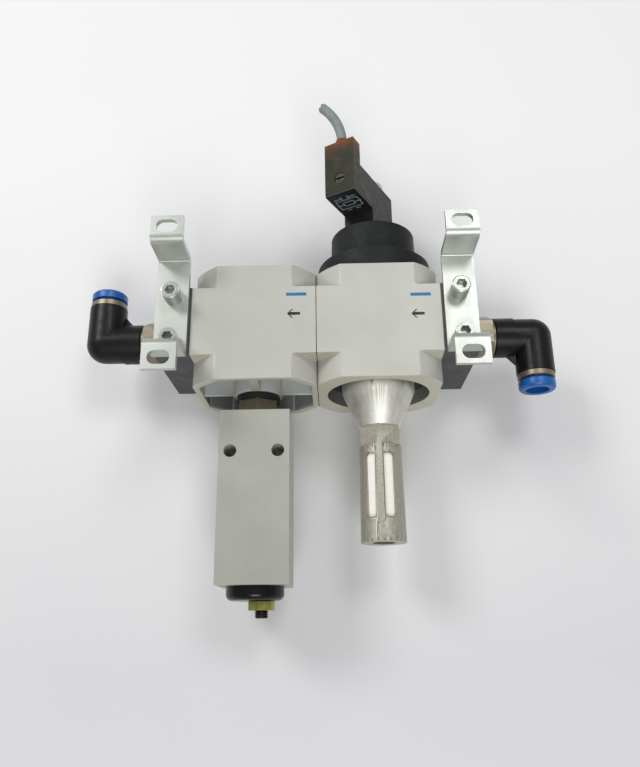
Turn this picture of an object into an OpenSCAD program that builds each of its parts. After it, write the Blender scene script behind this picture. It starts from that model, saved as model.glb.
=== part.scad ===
// Two-module compressed-air service unit: a branching module with a pressure switch and a
// solenoid-piloted on-off valve with a silencer, between end plates on slotted wall brackets.
// Origin: centre of the four bracket slots, on the wall plane. -Y faces the wall, +Z is up,
// and the air flows along -X.

/* [Modules] */
// Width of one module along the air line
module_w = 55; // [50:1:60]
// Depth of the modules and end plates
module_d = 54; // [52:1:60]
// Height of the full-width band round each module
band_h = 31.8; // [30:0.2:34]
// Module top above the air line
module_top = 26.6; // [25.6:0.2:29]
// Module bottom below the air line
module_bottom = 27.2; // [26.6:0.2:30]
// Corner rounding above and below the band
corner_cut = 11; // [8:0.5:11]
// Air passage through the modules
passage_d = 16; // [12:0.5:16]
// Mouth of the exhaust opening under the valve
mouth_d = 46.3; // [44:0.1:47]

/* [End plates and wall brackets] */
// End plate width along the air line
plate_w = 15.4; // [14:0.2:18]
// Wall plane to the modules' wall-side face
wall_gap = 20; // [16:1:24]
// Bracket strip width
bracket_w = 14.2; // [13:0.2:15]
// Bracket sheet thickness
bracket_t = 2.5; // [2:0.1:3]
// Slot spacing along the air line
slot_spacing_x = 126; // [124:1:128]
// Slot spacing along the height
slot_spacing_z = 60; // [58:1:62]
// Slot length from end to end
slot_length = 9.2; // [8:0.1:10]
// Slot width
slot_width = 6; // [5:0.1:6.4]
// Centre of the slots above the air line
air_drop = 5.6; // [5:0.1:6.2]
// Bracket screw head diameter
screw_head_d = 8; // [7:0.1:9]
// Bracket screw head height
screw_head_h = 7.8; // [5:0.1:8]
// Bracket screws' distance from the modules' joint
screw_x = 62.4; // [61:0.1:64]

/* [Elbow fittings] */
// Stud hexagon across flats
stud_af = 19; // [17:0.5:20]
// Elbow barrel diameter
barrel_d = 18.5; // [18:0.1:19]
// Elbow arm diameter
arm_d = 17.4; // [17.2:0.1:18]
// End plate to the arm's centre line
arm_reach = 29.9; // [29:0.1:33]
// Length of the plastic arm from the stud's centre line
arm_h = 18.2; // [18.2:0.1:20]
// Tube socket diameter for a 10 mm tube
tube_d = 10.2; // [10.1:0.05:10.2]
// Travel of the release ring
ring_travel = 1.2; // [0.8:0.1:1.2]

/* [Pilot and solenoid] */
// Cap flange diameter
cap_flange_d = 53.6; // [50:0.2:53.8]
// Cap flange height
cap_flange_h = 9; // [8:0.2:10]
// Cap tower diameter
cap_tower_d = 41.2; // [39:0.2:43]
// Draft of the cap tower on the radius
cap_draft = 0.5; // [0:0.1:1]
// Cap height over all
cap_h = 26; // [25:0.5:28]
// Turn of the solenoid about its armature tube
coil_yaw = 29; // [-90:1:90]
// Coil and plug width
coil_w = 15.2; // [14:0.2:17]
// Coil behind the armature axis
coil_back = 8.3; // [7:0.1:9]
// Coil in front of the armature axis
coil_front = 14.3; // [13:0.1:16]
// Coil height
coil_h = 26; // [25:0.5:27]
// Plug length in front of the coil
plug_l = 18.8; // [17:0.2:20]
// Length of the tall end of the plug
plug_tall_l = 6.9; // [6.5:0.1:8]
// Plug underside above the cap
plug_lift = 9.1; // [8:0.1:10]
// Tall end of the plug above the coil
plug_rise = 11.6; // [10:0.2:13]
// Cable diameter
cable_d = 4.7; // [4.4:0.1:5]
// Retaining nut diameter
nut_d = 12.6; // [10:0.2:13]
// Retaining nut height
nut_h = 5.8; // [4:0.1:7]

/* [Silencer] */
// Largest diameter of the cone adaptor
cone_d = 33.2; // [30:0.2:36]
// Small end of the cone adaptor
cone_tip_d = 18.6; // [18:0.2:20]
// Cone bottom below the air line
cone_bottom = 43; // [41:0.5:46]
// Silencer hexagon across flats
silencer_af = 17; // [16.6:0.2:18]
// Silencer bottom below the air line
silencer_bottom = 93.6; // [88:0.2:98]
// Window width
window_w = 4.2; // [3.6:0.1:4.6]

/* [Pressure switch] */
// Switch block width and depth
switch_w = 30.5; // [29:0.5:32]
// Switch block top below the air line
switch_top = 37.4; // [36:0.2:39]
// Switch block bottom below the air line
switch_bottom = 110.9; // [108:0.2:114]
// Mounting hole diameter
switch_hole_d = 5.5; // [5:0.1:5.8]
// Mounting hole spacing
switch_hole_pitch = 20.5; // [20:0.1:22]
// Mounting holes below the air line
switch_hole_z = 55.6; // [54:0.2:57]
// End cap diameter
end_cap_d = 24.6; // [20:0.2:28]
// Spindle offset from the switch axis
spindle_shift = 2.8; // [0:0.1:3]
// Lock nut across flats
lock_nut_af = 10; // [9:0.5:11]

/* [Hidden] */
$fn = 64;
eps = 0.01;

axis_y = module_d / 2;
passage_r = passage_d / 2;
gland = 0.05;

port_r = 5.9;
port_depth = 12;
recess_depth = 10;
recess_wall = 2.8;
boss_r = 11;
rib_w = 4;
thin_rib_w = 1.6;

plate_port_r = 8.35;
plate_port_depth = 13;
plate_x = module_w + plate_w / 2;
seal_in_r = 9;
seal_out_r = 12;
seal_t = 2;

bracket_x = slot_spacing_x / 2;
upper_slot_z = air_drop + slot_spacing_z / 2;
lower_slot_z = air_drop - slot_spacing_z / 2;
flange_half = 5;
bend_r = 2.3;
bend_steps = 6;
upper_leg_z = 29.55;
lower_leg_z = -16.65;
bracket_screw_z = [10.4, -11.2];
screw_r = 2.5;
screw_socket_af = 4;

stud_thread_l = 11;
stud_flange_l = 1.2;
stud_hex_end = 10.2;
barrel_start = 11.8;
journal_r = 6.2;
journal_end = 24;
collar_h = 2.4;
ring_gap = ring_travel + 0.2;
ring_flange_h = 4;
tube_r = tube_d / 2;
tube_stop_z = 2.5;
seal_seat_z = 8;
grip_seat_z = 11;
ring_neck_r = 6.8;
ring_flange_r = 8.3;
collar_out_r = 8.4;
ring_bottom_z = 13.6;

piston_r = 18;
piston_floor_z = 13;
chamber_r = 14;
guide_z = 9;
stem_r = 4;
seat_half = 1;
seat_r = 7;
insert_top_z = -14;
insert_bottom_z = -20.5;
exhaust_seat_r = 6;
exhaust_port_r = 10;
spring_pocket_r = 10;
spring_pocket_z = 32;
piston_z = [15, 20];

cap_top_z = module_top + cap_h;
coil_top_z = cap_top_z + coil_h;
tube_outer_r = 4.5;
tube_inner_r = 3.6;
tube_base_r = 5.4;
tube_foot_z = cap_top_z - 5;
plunger_z = [cap_top_z - 3.5, cap_top_z + 10.4];
core_z = cap_top_z + 17;

plug_front_y = -coil_front - plug_l;
plug_step_y = plug_front_y + plug_tall_l;
plug_low_z = cap_top_z + plug_lift;
plug_top_z = coil_top_z + plug_rise;
plug_wall = 1.2;
plug_base_t = 1.2;
plug_screw_z = plug_low_z + 8.5;
plug_screw_r = 2.6;
cable_y = plug_front_y + plug_tall_l / 2;
cable_root = 10;
cable_straight = 2.1;
cable_bend_r = 26;
cable_bend_deg = 50;
cable_heading = 180;

cone_lip_z = -26;
silencer_yaw = -7.5;
silencer_neck_z = -51.7;
silencer_top_r = 9.3;
silencer_end_r = 9.9;
window_z = [-83.5, -56];
insert_out_r = 8.5;
insert_in_r = 6;

nipple_flange_z = -27.2;
nipple_hex_z = -30;
nipple_af = 17;
nipple_yaw = 34;
switch_bore_r = 9;
switch_bore_z = -62;
switch_piston_r = 5;
seat_z = -95;
seat_h = 5;
inlet_z = -80;
inlet_base_w = 26;
inlet_neck_w = 22;
inlet_step = 3;
pin_l = 8;
pin_w = 6;
pin_t = 0.8;
micro_w = 12;
micro_t = 4;
end_cap_bottom = 116.7;
lock_nut_bottom = 120.6;
spindle_bottom = 123.7;
spindle_r = 2.9;

module unit_frame() {
    translate([0, wall_gap, -air_drop]) children();
}

// The vertical axis of the branching module (side -1) or of the valve (side 1)
module on_axis(side) {
    unit_frame() translate([side * module_w / 2, axis_y, 0]) children();
}

// The air line at one outer end: local X points outwards and local Z along the elbow's arm
module at_end(side) {
    unit_frame() translate([side * (module_w + plate_w), axis_y, 0])
        mirror([side < 0 ? 1 : 0, 0, 0]) mirror([0, 0, side > 0 ? 1 : 0]) children();
}

// The armature axis turned with the solenoid: local -Y points at the plug
module on_solenoid() {
    on_axis(1) rotate([0, 0, -coil_yaw]) children();
}

module on_switch() {
    on_axis(-1) children();
}

module x_cylinder(r, x0, x1) {
    translate([x0, 0, 0]) rotate([0, 90, 0]) cylinder(r = r, h = x1 - x0);
}

module y_cylinder(r, y0, y1) {
    translate([0, y1, 0]) rotate([90, 0, 0]) cylinder(r = r, h = y1 - y0);
}

module z_cylinder(r, z0, z1) {
    translate([0, 0, z0]) cylinder(r = r, h = z1 - z0);
}

module z_ring(r_in, r_out, z0, z1) {
    difference() {
        z_cylinder(r_out, z0, z1);
        z_cylinder(r_in, z0 - eps, z1 + eps);
    }
}

module z_cone(r0, r1, z0, z1) {
    translate([0, 0, z0]) cylinder(r1 = r0, r2 = r1, h = z1 - z0);
}

module hexagon_x(af, x0, x1) {
    translate([x0, 0, 0]) rotate([0, 90, 0]) cylinder(d = af / cos(30), h = x1 - x0, $fn = 6);
}

module hexagon_z(af, z0, z1) {
    translate([0, 0, z0]) cylinder(d = af / cos(30), h = z1 - z0, $fn = 6);
}

module centred_box(w, d, z0, z1) {
    translate([-w / 2, -d / 2, z0]) cube([w, d, z1 - z0]);
}

module octagon(w, d, cut) {
    x = w / 2;
    y = d / 2;
    polygon([
        [-x + cut, -y], [x - cut, -y], [x, -y + cut], [x, y - cut],
        [x - cut, y], [-x + cut, y], [-x, y - cut], [-x, -y + cut]
    ]);
}

// Round wire wound about Z between two flat faces
module coil_spring(mean_r, wire_r, z0, z1, turns) {
    steps = 14;
    sides = 8;
    rings = turns * steps;
    rise = (z1 - z0 - 2 * wire_r) / rings;
    points = [
        for (i = [0:rings], j = [0:sides - 1])
            let (a = 360 * i / steps, b = 360 * j / sides, r = mean_r + wire_r * cos(b))
                [r * cos(a), r * sin(a), z0 + wire_r + rise * i + wire_r * sin(b)]
    ];
    walls = [
        for (i = [0:rings - 1], j = [0:sides - 1])
            let (k = (j + 1) % sides, a = i * sides, b = a + sides)
                [a + j, a + k, b + k, b + j]
    ];
    first = [for (j = [sides - 1:-1:0]) j];
    last = [for (j = [0:sides - 1]) rings * sides + j];
    polyhedron(points, concat(walls, [first, last]), convexity = 10);
}

// ---- Modules ----

module housing_blank() {
    corner_r = sqrt(pow(module_w / 2 - corner_cut, 2) + pow(module_d / 2, 2));
    intersection() {
        centred_box(module_w, module_d, -module_bottom, module_top);
        z_cylinder(corner_r, -module_bottom - 1, module_top + 1);
    }
    centred_box(module_w, module_d, -band_h / 2, band_h / 2);
}

// A cored recess with a port boss and ribs left standing
module cored_recess(z_mouth) {
    inner_w = module_w - 2 * recess_wall;
    inner_d = module_d - 2 * recess_wall;
    difference() {
        linear_extrude(recess_depth) octagon(inner_w, inner_d, corner_cut - recess_wall / 2);
        z_cylinder(boss_r, -1, recess_depth + 1);
        centred_box(rib_w, module_d, -1, recess_depth + 1);
        centred_box(module_w, thin_rib_w, 1, recess_depth + 1);
    }
}

module left_module() {
    color("#bcbcb4") on_axis(-1) difference() {
        housing_blank();
        x_cylinder(passage_r, -module_w, module_w);
        translate([0, 0, -module_bottom - eps]) cored_recess();
        mirror([0, 0, 1]) translate([0, 0, -module_top - eps]) cored_recess();
        z_cylinder(port_r, -module_bottom - 1, -module_bottom + port_depth);
        z_cylinder(port_r, module_top - port_depth, module_top + 1);
        z_cylinder(port_r - 1.6, -module_bottom, module_top);
        seal_groove(module_w / 2 - seal_t);
    }
}

module seal_groove(x) {
    rotate([0, 90, 0]) z_ring(seal_in_r, seal_out_r, x, x + seal_t + eps);
}

module seal_ring(x) {
    rotate([0, 90, 0]) z_ring(seal_in_r + gland, seal_out_r - gland, x, x + seal_t);
}

module joint_seal() {
    color("#202020") on_axis(-1) seal_ring(module_w / 2 - seal_t);
}

module right_module() {
    side_duct_r = 3.5;
    color("#bcbcb4") on_axis(1) difference() {
        housing_blank();
        x_cylinder(passage_r, -module_w, -module_w / 2 + 8);
        x_cylinder(passage_r, module_w / 2 - 8, module_w);
        translate([0, 0, -5]) x_cylinder(side_duct_r, -module_w / 2, 0);
        translate([0, 0, 5]) x_cylinder(side_duct_r, 0, module_w / 2);
        z_cylinder(piston_r, piston_floor_z, module_top + 1);
        z_cylinder(chamber_r, seat_half, piston_floor_z + 1);
        z_cylinder(seat_r, -seat_half - 1, seat_half + 1);
        z_cylinder(chamber_r, insert_top_z - 1, -seat_half);
        z_cylinder(mouth_d / 2, -module_bottom - 1, insert_top_z);
    }
}

// ---- Port plug in the top of the branching module ----

module top_port_plug() {
    color("#b9a77a") on_axis(-1) difference() {
        union() {
            z_cylinder(port_r - gland, module_top - port_depth + 2, module_top);
            z_cylinder(boss_r - 2, module_top, module_top + 3);
        }
        hexagon_z(6, module_top - 3, module_top + 4);
    }
}

// ---- End plates ----

module end_plate(side) {
    color("#33353a") unit_frame() difference() {
        translate([side * plate_x - plate_w / 2, 0, -band_h / 2]) cube([plate_w, module_d, band_h]);
        translate([side * plate_x, axis_y, 0]) mirror([side < 0 ? 1 : 0, 0, 0]) {
            x_cylinder(passage_r - 1.5, -plate_w, plate_w);
            x_cylinder(plate_port_r, plate_w / 2 - plate_port_depth, plate_w);
            mirror([1, 0, 0]) seal_groove(plate_w / 2 - seal_t);
        }
        for (z = bracket_screw_z)
            translate([side * screw_x, 0, z]) y_cylinder(screw_r + gland, -1, 14);
    }
}

module end_seal(side) {
    color("#202020") unit_frame() translate([side * plate_x, axis_y, 0])
        mirror([side > 0 ? 1 : 0, 0, 0]) seal_ring(plate_w / 2 - seal_t);
}

module left_end_plate() {
    end_plate(-1);
}

module right_end_plate() {
    end_plate(1);
}

module left_end_seal() {
    end_seal(-1);
}

module right_end_seal() {
    end_seal(1);
}

// ---- Wall brackets ----

// Sheet outline beside a bent centre line: offset is positive on the left of the path
function heading(a, b) = atan2(b.y - a.y, b.x - a.x);
function along(h) = [cos(h), sin(h)];
function left_of(h) = [-sin(h), cos(h)];
function turned(h) = h > 180 ? h - 360 : h < -180 ? h + 360 : h;
function bend(path, i, offset) =
    let (
        h = heading(path[i - 1], path[i]),
        turn = turned(heading(path[i], path[i + 1]) - h),
        way = sign(turn),
        centre = path[i] - bend_r * tan(abs(turn) / 2) * along(h) + way * bend_r * left_of(h)
    )
    [for (k = [0:bend_steps]) centre - (way * bend_r - offset) * left_of(h + turn * k / bend_steps)];
function sheet_side(path, offset) =
    let (n = len(path) - 1, h0 = heading(path[0], path[1]), h1 = heading(path[n - 1], path[n]))
    concat(
        [path[0] + offset * left_of(h0)],
        [for (i = [1:n - 1]) each bend(path, i, offset)],
        [path[n] + offset * left_of(h1)]
    );
function reversed(points) = [for (i = [len(points) - 1:-1:0]) points[i]];

// Side view of the hat-shaped strip: x is the distance from the wall, y the height
module bracket_profile() {
    foot_y = bracket_t / 2;
    strip_y = wall_gap - bracket_t / 2;
    path = [
        [foot_y, lower_slot_z - flange_half], [foot_y, lower_leg_z], [strip_y, lower_leg_z],
        [strip_y, upper_leg_z], [foot_y, upper_leg_z], [foot_y, upper_slot_z + flange_half]
    ];
    polygon(concat(sheet_side(path, foot_y), reversed(sheet_side(path, -foot_y))));
}

module slot_cutter() {
    shift = (slot_length - slot_width) / 2;
    for (s = [-1, 1]) translate([s * shift, 0, 0]) y_cylinder(slot_width / 2, -1, bracket_t + 1);
    translate([-shift, -1, -slot_width / 2]) cube([2 * shift, bracket_t + 2, slot_width]);
}

module bracket(side) {
    color("#b9bdb6") translate([0, 0, -air_drop]) difference() {
        translate([side * bracket_x - bracket_w / 2, 0, 0])
            rotate([90, 0, 90]) linear_extrude(bracket_w) bracket_profile();
        for (z = [lower_slot_z, upper_slot_z]) translate([side * bracket_x, 0, z]) slot_cutter();
        for (z = bracket_screw_z)
            translate([side * screw_x, 0, z])
                y_cylinder(screw_r + gland, wall_gap - bracket_t - 1, wall_gap + 1);
    }
}

module left_bracket() {
    bracket(-1);
}

module right_bracket() {
    bracket(1);
}

// Socket-head screw; z is its height above the air line
module bracket_screw(side, z) {
    head_y = -bracket_t - screw_head_h;
    color("#a9aaa4") unit_frame() translate([side * screw_x, 0, z]) difference() {
        union() {
            y_cylinder(screw_r, -bracket_t, 12);
            y_cylinder(screw_head_d / 2, head_y + 0.4, -bracket_t);
            y_cylinder(screw_head_d / 2 - 0.4, head_y, head_y + 0.5);
        }
        translate([0, head_y - 1, 0]) rotate([-90, 0, 0])
            cylinder(d = screw_socket_af / cos(30), h = 4, $fn = 6);
    }
}

module left_screw_upper() {
    bracket_screw(-1, bracket_screw_z[0]);
}

module left_screw_lower() {
    bracket_screw(-1, bracket_screw_z[1]);
}

module right_screw_upper() {
    bracket_screw(1, bracket_screw_z[0]);
}

module right_screw_lower() {
    bracket_screw(1, bracket_screw_z[1]);
}

// ---- Push-in elbows, drawn with the stud along X and the arm along Z ----

module stud(side) {
    color("#b3a88c") at_end(side) difference() {
        union() {
            x_cylinder(plate_port_r - gland, -stud_thread_l, 0);
            x_cylinder(stud_af / 2 - 0.3, 0, stud_flange_l);
            hexagon_x(stud_af, stud_flange_l, stud_hex_end);
            x_cylinder(barrel_d / 2 - 0.9, stud_hex_end, barrel_start - 0.2);
            x_cylinder(journal_r, barrel_start - 0.3, journal_end);
        }
        x_cylinder(4, -stud_thread_l - 1, journal_end + 1);
    }
}

module elbow_body(side) {
    color("#24262a") at_end(side) difference() {
        union() {
            x_cylinder(barrel_d / 2, barrel_start, arm_reach - arm_d / 2 - 0.6);
            x_cylinder(barrel_d / 2 - 0.5, barrel_start, arm_reach);
            translate([arm_reach, 0, 0]) sphere(r = arm_d / 2);
            translate([arm_reach, 0, 0]) z_cylinder(arm_d / 2, 0, arm_h);
            elbow_gusset();
        }
        x_cylinder(journal_r + gland, barrel_start - 1, journal_end + 0.3);
        x_cylinder(4, barrel_start, arm_reach);
        translate([arm_reach, 0, 0]) {
            z_cylinder(4, 0, arm_h);
            sphere(r = 4);
            z_cylinder(tube_r, tube_stop_z, arm_h + 1);
            z_cylinder(7.3, seal_seat_z, arm_h + 1);
            z_cylinder(7.7, grip_seat_z, arm_h + 1);
        }
    }
}

module elbow_gusset() {
    x0 = arm_reach - arm_d / 2;
    z0 = barrel_d / 2 - 1;
    translate([0, 1, 0]) rotate([90, 0, 0]) linear_extrude(2)
        polygon([[x0 - 5, z0], [x0 + 1, z0], [x0 + 1, z0 + 6.5]]);
}

module elbow_collar(side) {
    color("#a99f86") at_end(side) translate([arm_reach, 0, 0]) {
        z_ring(ring_neck_r + gland, 7.65, grip_seat_z + 1.5, arm_h);
        z_ring(ring_neck_r + gland, collar_out_r, arm_h, arm_h + collar_h);
    }
}

module grip_ring(side) {
    color("#c8c8c8") at_end(side) translate([arm_reach, 0, 0])
        z_ring(tube_r + gland, 7.65, grip_seat_z, grip_seat_z + 1);
}

module tube_seal(side) {
    color("#1c1c1c") at_end(side) translate([arm_reach, 0, 0])
        z_ring(tube_r + gland, 7.2, seal_seat_z, grip_seat_z);
}

module release_ring(side) {
    flange_z = arm_h + collar_h + ring_gap;
    color("#1f63b5") at_end(side) translate([arm_reach, 0, 0]) difference() {
        union() {
            z_cylinder(ring_neck_r, ring_bottom_z, flange_z + 1);
            z_cylinder(ring_flange_r, flange_z, flange_z + ring_flange_h - 1);
            z_cone(ring_flange_r, ring_flange_r - 0.8, flange_z + ring_flange_h - 1,
                   flange_z + ring_flange_h);
        }
        z_cylinder(tube_r + 2 * gland, ring_bottom_z - 1, flange_z + ring_flange_h + 1);
    }
}

module left_stud() {
    stud(-1);
}

module left_elbow_body() {
    elbow_body(-1);
}

module left_elbow_collar() {
    elbow_collar(-1);
}

module left_grip_ring() {
    grip_ring(-1);
}

module left_tube_seal() {
    tube_seal(-1);
}

module left_release_ring() {
    release_ring(-1);
}

module right_stud() {
    stud(1);
}

module right_elbow_body() {
    elbow_body(1);
}

module right_elbow_collar() {
    elbow_collar(1);
}

module right_grip_ring() {
    grip_ring(1);
}

module right_tube_seal() {
    tube_seal(1);
}

module right_release_ring() {
    release_ring(1);
}

// ---- Valve inside the right module ----

module stem_guide() {
    color("#c9b27a") on_axis(1)
        z_ring(stem_r + gland, chamber_r - gland, guide_z, piston_floor_z);
}

module valve_stem() {
    groove_r = piston_r - 2;
    color("#c8c8c8") on_axis(1) difference() {
        union() {
            z_cylinder(stem_r, -22.5, piston_z[0]);
            z_cylinder(piston_r - 2 * gland, piston_z[0], piston_z[1]);
        }
        z_ring(groove_r, piston_r + 1, piston_z[0] + 1.5, piston_z[1] - 1.5);
    }
}

module piston_seal() {
    color("#1c1c1c") on_axis(1)
        z_ring(piston_r - 2, piston_r - gland, piston_z[0] + 1.5, piston_z[1] - 1.5);
}

module supply_poppet() {
    color("#c9b27a") on_axis(1) z_ring(stem_r, seat_r + 3, seat_half + 0.1, seat_half + 3);
}

module exhaust_poppet() {
    color("#c9b27a") on_axis(1) z_ring(stem_r, 8, -22.5, -20.1);
}

module return_spring() {
    color("#9a9a9a") on_axis(1) coil_spring(7, 0.7, piston_z[1], spring_pocket_z, 4);
}

module bottom_insert() {
    color("#232428") on_axis(1) difference() {
        z_cylinder(mouth_d / 2 - gland, insert_bottom_z, insert_top_z);
        z_cylinder(exhaust_seat_r, insert_bottom_z - 1, insert_top_z + 1);
        z_cylinder(exhaust_port_r, insert_bottom_z - 1, insert_top_z - 2);
    }
}

// ---- Pilot cap and solenoid ----

module pilot_cap() {
    color("#2b2d31") on_axis(1) difference() {
        union() {
            z_cylinder(cap_flange_d / 2, module_top, module_top + cap_flange_h);
            z_cone(cap_tower_d / 2, cap_tower_d / 2 - cap_draft, module_top + 1, cap_top_z);
        }
        z_cylinder(spring_pocket_r, module_top - 1, spring_pocket_z);
        z_cylinder(1, spring_pocket_z - 1, cap_top_z);
        z_cylinder(tube_base_r + gland, tube_foot_z, cap_top_z + 1);
    }
}

module armature_tube() {
    color("#b8b8b8") on_axis(1) difference() {
        union() {
            z_cylinder(tube_base_r, tube_foot_z, cap_top_z);
            z_cylinder(tube_outer_r, tube_foot_z, coil_top_z - 0.4);
            z_cylinder(3, coil_top_z - 1, coil_top_z + 3);
        }
        z_cylinder(tube_inner_r, tube_foot_z + 1.4, core_z);
        z_cylinder(1, tube_foot_z - 1, tube_foot_z + 2);
    }
}

module pilot_plunger() {
    color("#9c9c9c") on_axis(1) z_cylinder(tube_inner_r - gland, plunger_z[0], plunger_z[1]);
}

module plunger_spring() {
    color("#9a9a9a") on_axis(1) coil_spring(2.4, 0.35, plunger_z[1], core_z, 5);
}

module coil_block() {
    length = coil_front + coil_back;
    color("#3a3a3b") on_solenoid() difference() {
        translate([0, coil_back - length / 2, 0])
            centred_box(coil_w, length, cap_top_z + 0.3, coil_top_z);
        z_cylinder(tube_outer_r + gland, cap_top_z, coil_top_z + 1);
        translate([0, 0, plug_screw_z]) y_cylinder(1.6, -coil_front - 1, -coil_front + 6);
    }
}

module coil_nut() {
    color("#e3e4df") on_axis(1) difference() {
        union() {
            z_cylinder(nut_d / 2, coil_top_z + 0.1, coil_top_z + nut_h - 1);
            z_cone(nut_d / 2, nut_d / 2 - 1, coil_top_z + nut_h - 1, coil_top_z + nut_h);
        }
        z_cylinder(3 + gland, coil_top_z, coil_top_z + 4);
    }
}

// Side view of the plug: x is along the solenoid, y is the height
module plug_outline(inset) {
    polygon([
        [plug_front_y + inset, plug_low_z + plug_base_t],
        [-coil_front, plug_low_z + plug_base_t],
        [-coil_front, coil_top_z - inset],
        [plug_step_y - inset, coil_top_z - inset],
        [plug_step_y - inset, plug_top_z - inset],
        [plug_front_y + inset, plug_top_z - inset]
    ]);
}

module plug_slab(width, inset) {
    translate([-width / 2, 0, 0]) rotate([90, 0, 90]) linear_extrude(width) plug_outline(inset);
}

module plug_housing() {
    color("#7d6a3c", 0.8) on_solenoid() difference() {
        union() {
            plug_slab(coil_w, 0);
            translate([0, cable_y, 0]) z_cone(3.4, 3, plug_top_z - 0.5, plug_top_z + 2);
        }
        plug_slab(coil_w - 2 * plug_wall, plug_wall);
        translate([0, 0, plug_screw_z]) y_cylinder(plug_screw_r + 0.1, plug_front_y - 1, plug_front_y + 5);
        translate([0, cable_y, 0])
            z_cylinder(cable_d / 2 + gland, plug_top_z - cable_root - 1, plug_top_z + 4);
    }
}

// Contact carrier: the plug's underside and the block behind its front wall
module plug_base() {
    carrier_w = coil_w - 2 * plug_wall;
    color("#1b1c1e") on_solenoid() difference() {
        union() {
            translate([0, plug_front_y + plug_l / 2, 0])
                centred_box(coil_w, plug_l, plug_low_z, plug_low_z + plug_base_t);
            translate([0, (plug_front_y + plug_wall + 3 - coil_front) / 2, 0])
                centred_box(carrier_w, plug_l - plug_wall - 3, plug_low_z, coil_top_z - 4);
        }
        translate([0, 0, plug_screw_z])
            y_cylinder(1.6, plug_front_y - 1, -coil_front + 1);
    }
}

module plug_screw() {
    head_y = plug_front_y + 0.4;
    color("#8f8f8a") on_solenoid() translate([0, 0, plug_screw_z]) difference() {
        union() {
            y_cylinder(plug_screw_r, head_y, plug_front_y + plug_wall + 2.9);
            y_cylinder(1.5, head_y, -coil_front + 5);
        }
        translate([-3, head_y - 1, -0.4]) cube([6, 2, 0.8]);
    }
}

// Where the cable's cut end lies and how far it leans, about the bend's centre
module on_cable() {
    on_solenoid() translate([0, cable_y, plug_top_z]) rotate([0, 0, coil_yaw + cable_heading])
        children();
}

module at_cable_end() {
    on_cable() translate([cable_bend_r, 0, cable_straight]) rotate([0, cable_bend_deg, 0])
        translate([-cable_bend_r, 0, 0]) children();
}

module cable_stub() {
    color("#9da3a3") on_cable() {
        z_cylinder(cable_d / 2, -cable_root, cable_straight);
        translate([cable_bend_r, 0, cable_straight]) mirror([1, 0, 0]) rotate([90, 0, 0])
            rotate_extrude(angle = cable_bend_deg) translate([cable_bend_r, 0]) circle(d = cable_d);
    }
}

module cable_wires() {
    color("#4a4a30") at_cable_end() for (a = [0, 120, 240])
        rotate([0, 0, a]) translate([1.1, 0, 0]) z_cylinder(0.75, 0, 1.6);
}

// ---- Silencer ----

module cone_adaptor() {
    thread_top = insert_top_z - 2.1;
    thread_low = -cone_bottom - 8;
    color("#c9c9c2") on_axis(1) rotate_extrude() polygon([
        [8.6, thread_top], [exhaust_port_r - gland, thread_top],
        [exhaust_port_r - gland, insert_bottom_z], [cone_d / 2, insert_bottom_z],
        [cone_d / 2, cone_lip_z], [cone_tip_d / 2, -cone_bottom],
        [port_r - gland, -cone_bottom], [port_r - gland, thread_low],
        [4, thread_low], [4, -38], [8.6, -30]
    ]);
}

module silencer_body() {
    rib = 0.5;
    color("#9b9789") on_axis(1) rotate([0, 0, silencer_yaw]) difference() {
        union() {
            rotate([0, 0, 30]) hexagon_z(silencer_af, silencer_neck_z, -cone_bottom);
            z_cone(silencer_end_r, silencer_top_r, -silencer_bottom, silencer_neck_z);
            for (a = [0, 180]) rotate([0, 0, a])
                translate([-1.5, -silencer_top_r - rib, -silencer_bottom + 8])
                    cube([3, 3, silencer_bottom - 8 + silencer_neck_z + 0.4]);
        }
        z_cylinder(port_r, -cone_bottom - 9, -cone_bottom + 1);
        z_cylinder(insert_out_r + gland, window_z[0] - 4, -cone_bottom - 9);
        z_cylinder(5, -silencer_bottom - 1, window_z[0]);
        for (a = [-25, 25, 155, 205]) rotate([0, 0, a]) silencer_window();
    }
}

// A window with rounded corners
module silencer_window() {
    corner_r = 1.2;
    half = window_w / 2 - corner_r;
    depth = silencer_end_r + 2 - insert_in_r;
    height = window_z[1] - window_z[0];
    for (x = [-half, half], z = [window_z[0] + corner_r, window_z[1] - corner_r])
        translate([x, 0, z]) y_cylinder(corner_r, -silencer_end_r - 2, -insert_in_r);
    translate([-half, -silencer_end_r - 2, window_z[0]]) cube([2 * half, depth, height]);
    translate([-window_w / 2, -silencer_end_r - 2, window_z[0] + corner_r])
        cube([window_w, depth, height - 2 * corner_r]);
}

module silencer_insert() {
    color("#eeeeea") on_axis(1)
        z_ring(insert_in_r, insert_out_r, window_z[0] - 4, -cone_bottom - 9);
}

// ---- Pressure switch ----

module switch_nipple() {
    color("#a39c80") on_switch() difference() {
        union() {
            z_cylinder(port_r - gland, nipple_flange_z, nipple_flange_z + port_depth - 2);
            z_cylinder(8, nipple_hex_z, nipple_flange_z);
            rotate([0, 0, nipple_yaw]) hexagon_z(nipple_af, -switch_top, nipple_hex_z);
            z_cylinder(port_r - gland, -switch_top - 8, -switch_top);
        }
        z_cylinder(2.5, -switch_top - 9, nipple_flange_z + port_depth);
    }
}

module switch_seal() {
    color("#18181a") on_switch() z_ring(8, 9.8, nipple_hex_z, nipple_flange_z);
}

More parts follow.
